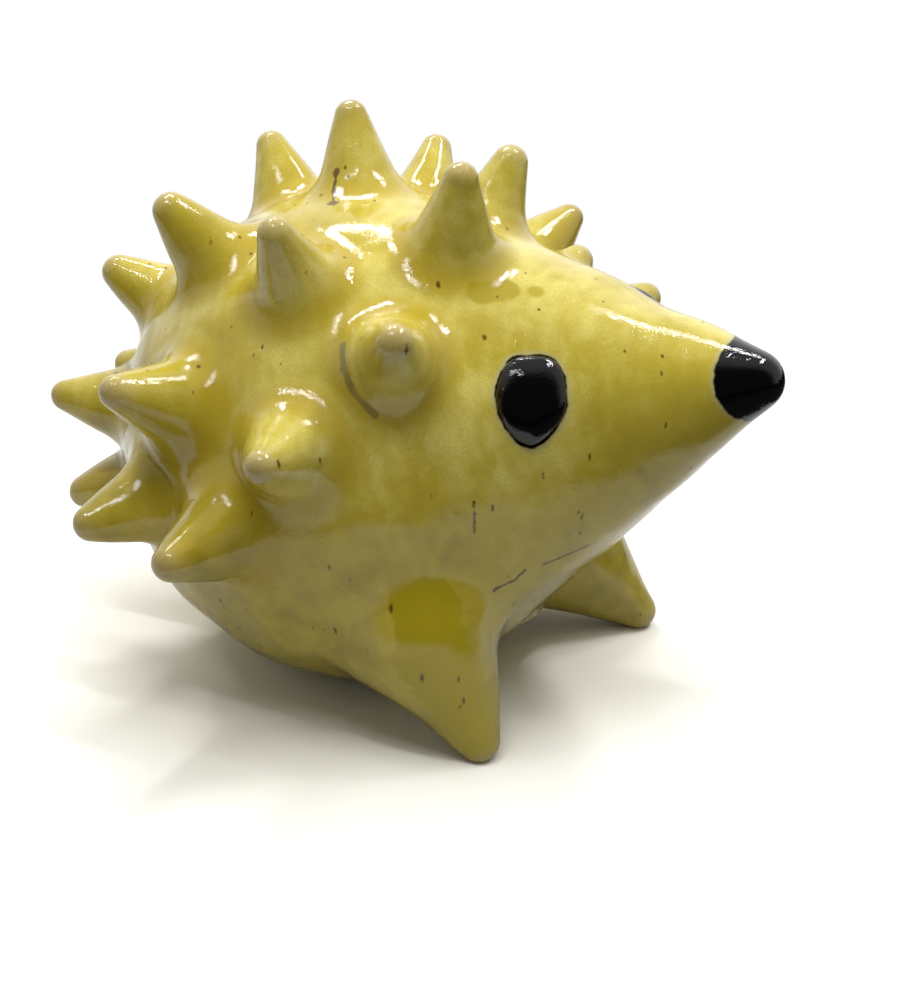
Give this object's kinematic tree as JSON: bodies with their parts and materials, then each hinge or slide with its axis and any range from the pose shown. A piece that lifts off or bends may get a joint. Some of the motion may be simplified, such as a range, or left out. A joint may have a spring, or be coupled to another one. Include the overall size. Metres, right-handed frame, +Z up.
{
  "type": "hedgehog figurine",
  "caption": "Hollow glazed stoneware hedgehog with a round body, cone-shaped spikes, a pointed snout, black eyes and nose, resting on its belly and front legs.",
  "frame": {"origin": "centre of the flat spot under the ball of the body, on the table", "axes": "+Z up, -Y towards the snout, +X towards the hedgehog's left side"},
  "size_m": [0.1372, 0.15, 0.1163],
  "materials": {
    "yellow_glaze": "gloss",
    "black_glaze": "gloss"
  },
  "bodies": {
    "root": {"body_shell": "yellow_glaze", "nose_tip": "black_glaze", "right_eye": "black_glaze", "left_eye": "black_glaze", "right_front_leg": "yellow_glaze", "left_front_leg": "yellow_glaze", "spike_01": "yellow_glaze", "spike_02": "yellow_glaze", "spike_03": "yellow_glaze", "spike_04": "yellow_glaze", "spike_05": "yellow_glaze", "spike_06": "yellow_glaze", "spike_07": "yellow_glaze", "spike_08": "yellow_glaze", "spike_09": "yellow_glaze", "spike_10": "yellow_glaze", "spike_11": "yellow_glaze", "spike_12": "yellow_glaze", "spike_13": "yellow_glaze", "spike_14": "yellow_glaze", "spike_15": "yellow_glaze", "spike_16": "yellow_glaze", "spike_17": "yellow_glaze", "spike_18": "yellow_glaze", "spike_19": "yellow_glaze", "spike_20": "yellow_glaze", "spike_21": "yellow_glaze", "spike_22": "yellow_glaze", "spike_23": "yellow_glaze", "spike_24": "yellow_glaze"}
  },
  "joints": []
}
